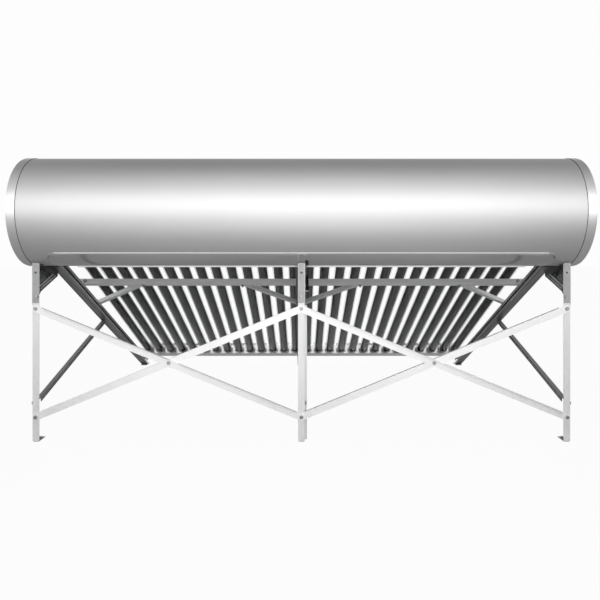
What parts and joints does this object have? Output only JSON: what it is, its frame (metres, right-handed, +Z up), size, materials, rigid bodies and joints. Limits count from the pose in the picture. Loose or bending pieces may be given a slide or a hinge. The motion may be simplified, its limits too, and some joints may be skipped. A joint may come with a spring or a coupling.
{
  "type": "solar water heater",
  "caption": "Evacuated-tube solar water heater: horizontal insulated tank on an X-braced stand, sloping glass tubes ending in a tail tray.",
  "frame": {"origin": "on the ground, under the centre of the heater's overall box", "axes": "+X along the tank to the right as seen from behind the rear legs, +Y from the rear legs to the foot of the tubes, +Z up"},
  "size_m": [2.428, 1.9692, 1.1958],
  "materials": {
    "shell_steel": "polished stainless sheet",
    "belly_steel": "bright stainless sheet",
    "cap_steel": "polished stainless pressing",
    "vessel_steel": "pickled stainless",
    "foam": "rigid foam",
    "clear_glass": "clear glass",
    "absorber": "dark selective coating",
    "rubber": "matt rubber",
    "cup_plastic": "pale matt plastic",
    "tray_steel": "stainless sheet",
    "rail_steel": "dark satin",
    "leg_steel": "pale galvanised",
    "cradle_steel": "dark gloss",
    "head_steel": "galvanised",
    "foot_steel": "galvanised",
    "fitting": "machined"
  },
  "bodies": {
    "root": {"absorber_tubes": "absorber", "belly_plate": "belly_steel", "brace_washers": "fitting", "centre_cradle": "cradle_steel", "centre_front_foot": "foot_steel", "centre_leg": "leg_steel", "centre_leg_head": "head_steel", "centre_rail": "rail_steel", "centre_rear_foot": "foot_steel", "centre_stay": "rail_steel", "centre_tray_seat": "rubber", "cold_inlet": "fitting", "cross_bar": "rail_steel", "dust_rings": "rubber", "glass_tubes": "clear_glass", "hot_outlet": "fitting", "immersion_heater": "fitting", "inner_vessel": "vessel_steel", "insulation_foam": "foam", "left_back_brace": "leg_steel", "left_cap": "cap_steel", "left_cradle": "cradle_steel", "left_front_brace": "leg_steel", "left_front_foot": "foot_steel", "left_inner_strut": "rail_steel", "left_leg": "leg_steel", "left_leg_head": "head_steel", "left_outer_strut": "rail_steel", "left_rail": "rail_steel", "left_rear_foot": "foot_steel", "left_stay": "rail_steel", "left_tray_seat": "rubber", "outer_shell": "shell_steel", "right_back_brace": "leg_steel", "right_cap": "cap_steel", "right_cradle": "cradle_steel", "right_front_brace": "leg_steel", "right_front_foot": "foot_steel", "right_inner_strut": "rail_steel", "right_leg": "leg_steel", "right_leg_head": "head_steel", "right_outer_strut": "rail_steel", "right_rail": "rail_steel", "right_rear_foot": "foot_steel", "right_stay": "rail_steel", "right_tray_seat": "rubber", "sensor_pocket": "fitting", "strut_washers": "fitting", "tail_cups": "cup_plastic", "tail_tray": "tray_steel", "vent_stub": "fitting"}
  },
  "joints": []
}
